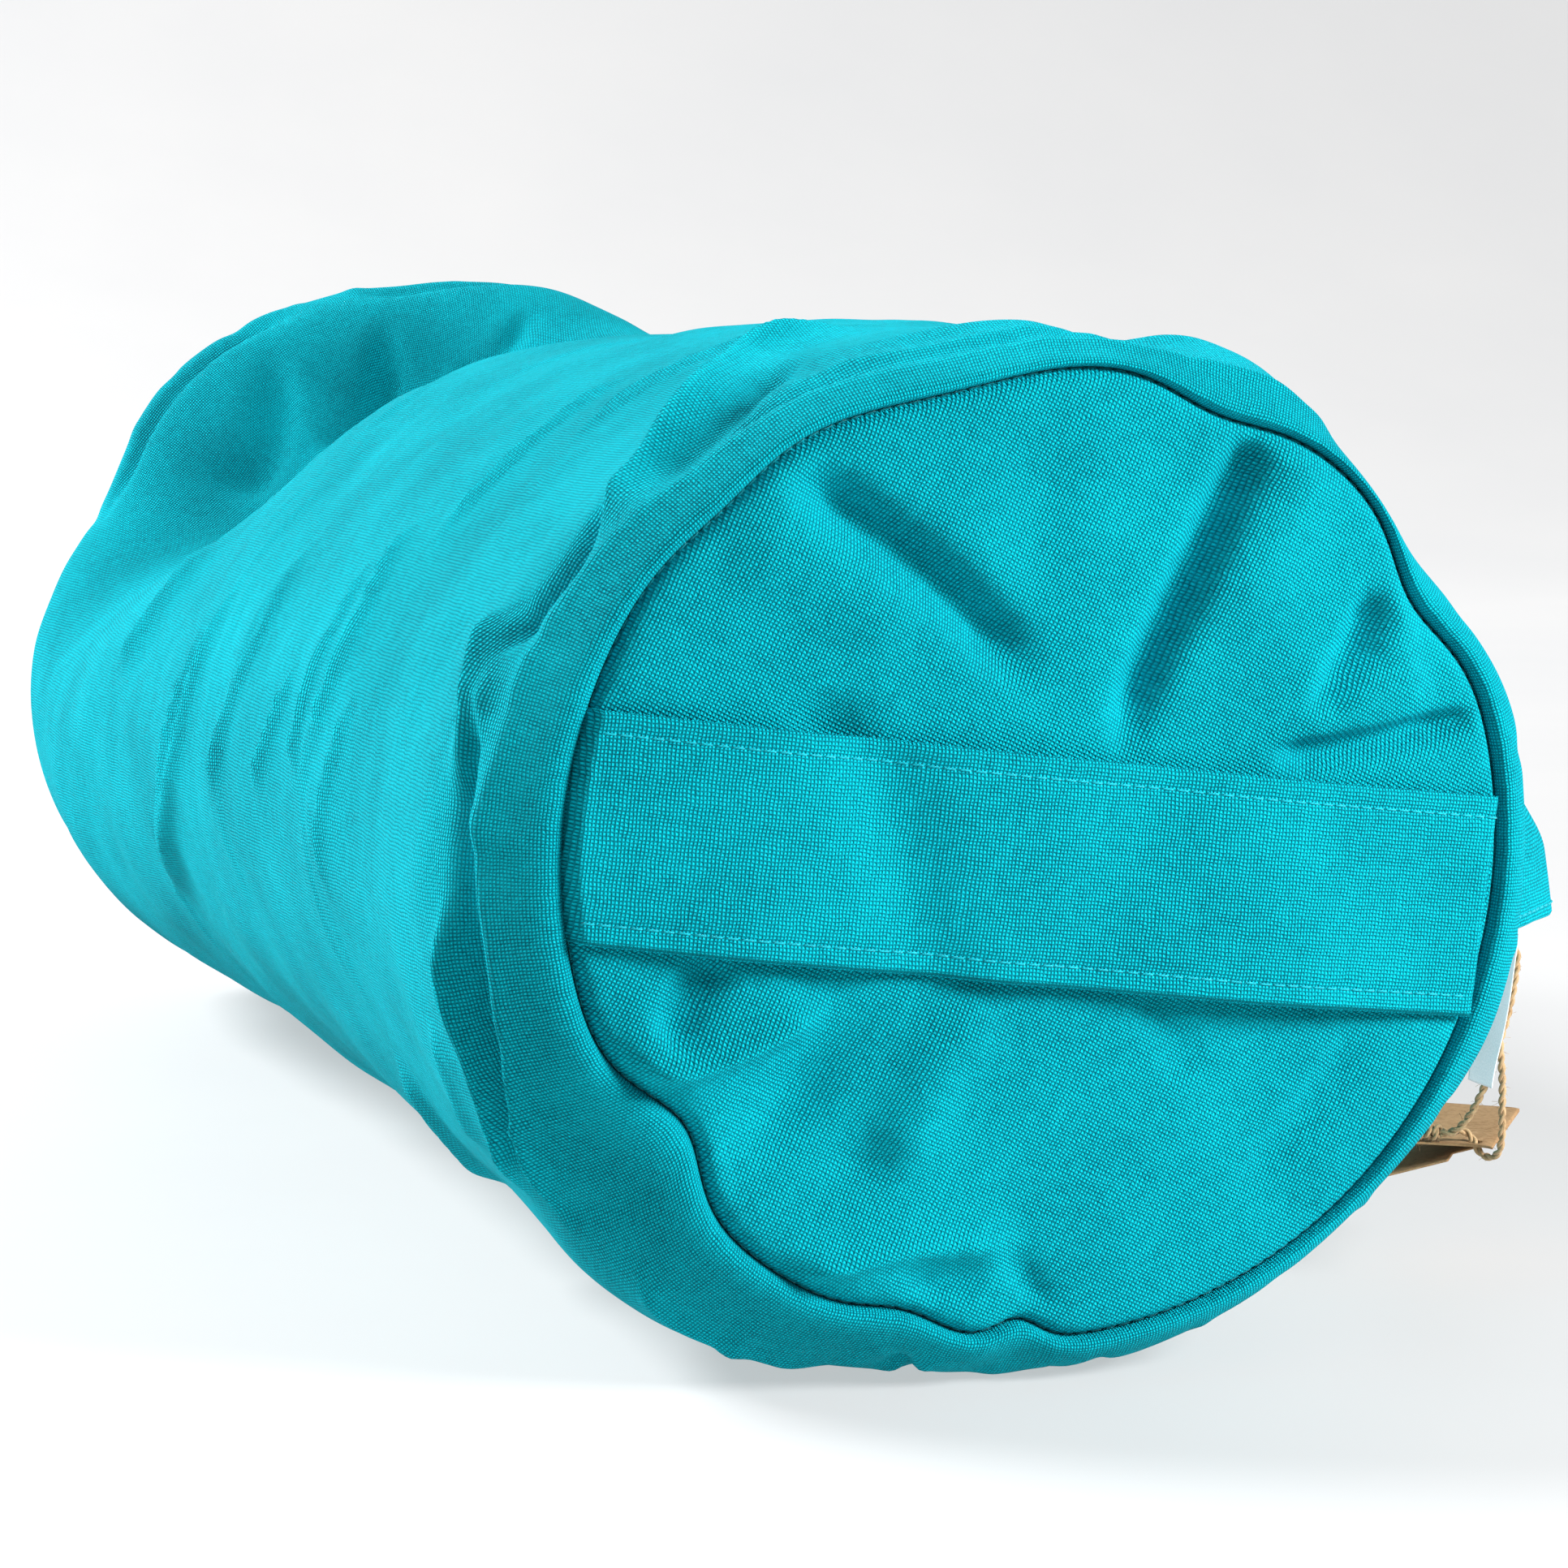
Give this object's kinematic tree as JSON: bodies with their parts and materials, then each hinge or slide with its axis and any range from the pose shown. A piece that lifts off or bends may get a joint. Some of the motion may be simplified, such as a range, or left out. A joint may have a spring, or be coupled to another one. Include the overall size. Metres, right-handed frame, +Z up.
{
  "type": "bolster pillow",
  "caption": "Round yoga bolster pillow in a teal canvas cover with a carry strap on one end, a long zip under a side flap, and a kraft swing tag on jute twine.",
  "frame": {"origin": "on the floor, under the middle of the bolster, at the centre of the flat strip that it rests on", "axes": "+Z up, +Y along the bolster from the strap end to the plain end, +X towards the zip side"},
  "size_m": [0.2799, 0.6115, 0.222],
  "materials": {
    "canvas_teal": "plain-weave cotton canvas, matt",
    "thread_teal": "spun polyester sewing thread",
    "zip_tape_cloth": "fine twill tape",
    "zip_coil_nylon": "nylon coil, satin",
    "zip_metal": "lacquered zinc",
    "pull_tab_lacquer": "pale teal lacquer",
    "label_satin": "white satin ribbon, slightly see-through",
    "thread_white": "white sewing thread",
    "liner_cotton": "unbleached cotton percale",
    "hulls": "loose buckwheat hulls",
    "kraft_card": "uncoated kraft card",
    "jute": "two-ply natural jute twine"
  },
  "bodies": {
    "root": {"side_panel": "canvas_teal", "near_end_panel": "canvas_teal", "far_end_panel": "canvas_teal", "near_seam_stitching": "thread_teal", "far_seam_stitching": "thread_teal", "zip_tape_lower": "zip_tape_cloth", "zip_tape_upper": "zip_tape_cloth", "zip_coil_lower": "zip_coil_nylon", "zip_coil_upper": "zip_coil_nylon", "zip_top_stops": "zip_metal", "zip_bottom_stop": "zip_metal", "zip_bartacks": "thread_teal", "liner_tube": "liner_cotton", "liner_near_end": "liner_cotton", "liner_far_end": "liner_cotton", "liner_closing_seam": "thread_white", "hull_filling": "hulls"},
    "carry_handle": {"carry_strap": "canvas_teal", "strap_stitching": "thread_teal"},
    "flap": {"zip_flap": "canvas_teal", "flap_stitching": "thread_teal"},
    "label": {"care_label": "label_satin", "label_stitching": "thread_white"},
    "slider": {"zip_slider": "zip_metal"},
    "zip_pull": {"pull_ring": "zip_metal", "pull_tab": "pull_tab_lacquer"},
    "swing_tag": {"card_upper_leaf": "kraft_card", "twine_front_strand": "jute", "twine_back_strand": "jute", "twine_knot": "jute"},
    "tag_leaf": {"card_lower_leaf": "kraft_card"}
  },
  "joints": [
    {"name": "handle_pull", "type": "slide", "parent": "root", "child": "carry_handle", "axis": [0, -1, 0], "range_m": [0, 0.025], "stiffness_N_per_m": 60},
    {"name": "flap_lift", "type": "hinge", "parent": "root", "child": "flap", "pos_m": [0.1266, -0.023, 0.118], "axis": [0, -1, 0], "range_deg": [0, 100]},
    {"name": "label_lift", "type": "hinge", "parent": "root", "child": "label", "pos_m": [0.1229, -0.2585, 0.0845], "axis": [0, -1, 0], "range_deg": [0, 70]},
    {"name": "zip_slide", "type": "slide", "parent": "root", "child": "slider", "axis": [0, 1, 0], "range_m": [0, 0.455]},
    {"name": "pull_swing", "type": "hinge", "parent": "slider", "child": "zip_pull", "pos_m": [0.1277, -0.248, 0.099], "axis": [1, 0, 0], "range_deg": [-30, 20]},
    {"name": "tag_swing", "type": "hinge", "parent": "zip_pull", "child": "swing_tag", "pos_m": [0.1277, -0.248, 0.0783], "axis": [0, -1, 0], "range_deg": [0, 60]},
    {"name": "card_open", "type": "hinge", "parent": "swing_tag", "child": "tag_leaf", "pos_m": [0.128, -0.243, 0.0326], "axis": [-0.5388, -0.8425, 0], "range_deg": [0, 30]}
  ]
}
